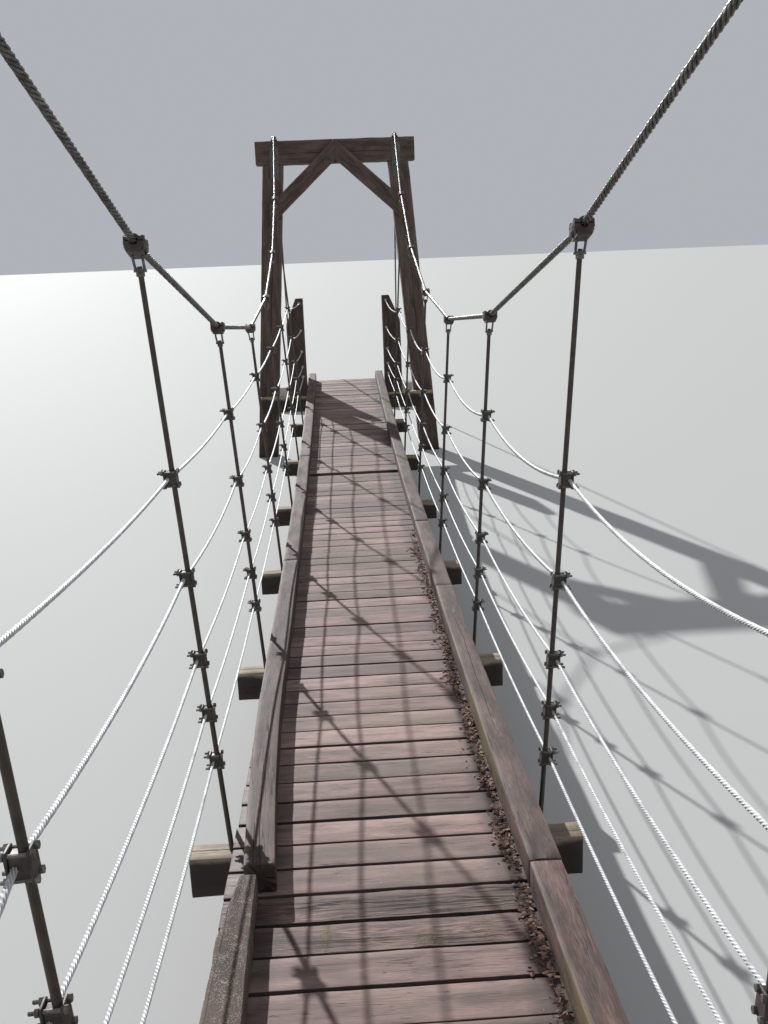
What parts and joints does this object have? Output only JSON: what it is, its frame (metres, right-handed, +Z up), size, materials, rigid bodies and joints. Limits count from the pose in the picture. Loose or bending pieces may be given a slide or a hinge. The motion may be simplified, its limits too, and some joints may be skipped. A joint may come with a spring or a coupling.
{
  "type": "rope suspension footbridge",
  "caption": "Timber footbridge hung on wire-rope main cables between braced timber portals, with rope railings on rod hangers, a board deck with curbs, and backstays to concrete blocks.",
  "frame": {"origin": "on the ground under mid-span, at the centre of the box's bottom face", "axes": "+Y along the deck towards the far portal, +X to the right of someone walking that way, +Z up"},
  "size_m": [2.255, 21.3376, 3.7649],
  "materials": {
    "stained_timber": "red-brown stain, weathered",
    "weathered_timber": "grey, bare, with lichen",
    "dark_timber": "damp, dark brown",
    "wire_rope": "galvanised strands",
    "dark_steel": "dull galvanised, tarnished",
    "concrete": "cast concrete, weathered"
  },
  "bodies": {
    "root": {"near_header": "stained_timber", "near_post_left": "stained_timber", "near_knee_brace_left": "stained_timber", "near_saddle_left": "dark_steel", "near_post_right": "stained_timber", "near_knee_brace_right": "stained_timber", "near_saddle_right": "dark_steel", "near_end_beam": "weathered_timber", "near_rail_post_left": "dark_timber", "near_anchor_block_left": "concrete", "near_rail_post_right": "dark_timber", "near_anchor_block_right": "concrete", "far_header": "stained_timber", "far_post_left": "stained_timber", "far_knee_brace_left": "stained_timber", "far_saddle_left": "dark_steel", "far_post_right": "stained_timber", "far_knee_brace_right": "stained_timber", "far_saddle_right": "dark_steel", "far_end_beam": "weathered_timber", "far_rail_post_left": "dark_timber", "far_anchor_block_left": "concrete", "far_rail_post_right": "dark_timber", "far_anchor_block_right": "concrete", "deck": "stained_timber", "stringer_left": "dark_timber", "curb_left": "weathered_timber", "main_cable_left": "wire_rope", "rope_rail_left": "wire_rope", "stringer_right": "dark_timber", "curb_right": "stained_timber", "main_cable_right": "wire_rope", "rope_rail_right": "wire_rope", "cross_beam_1": "weathered_timber", "cross_beam_2": "weathered_timber", "cross_beam_3": "weathered_timber", "cross_beam_4": "weathered_timber", "cross_beam_5": "weathered_timber", "cross_beam_6": "weathered_timber", "cross_beam_7": "weathered_timber"}
  },
  "joints": []
}
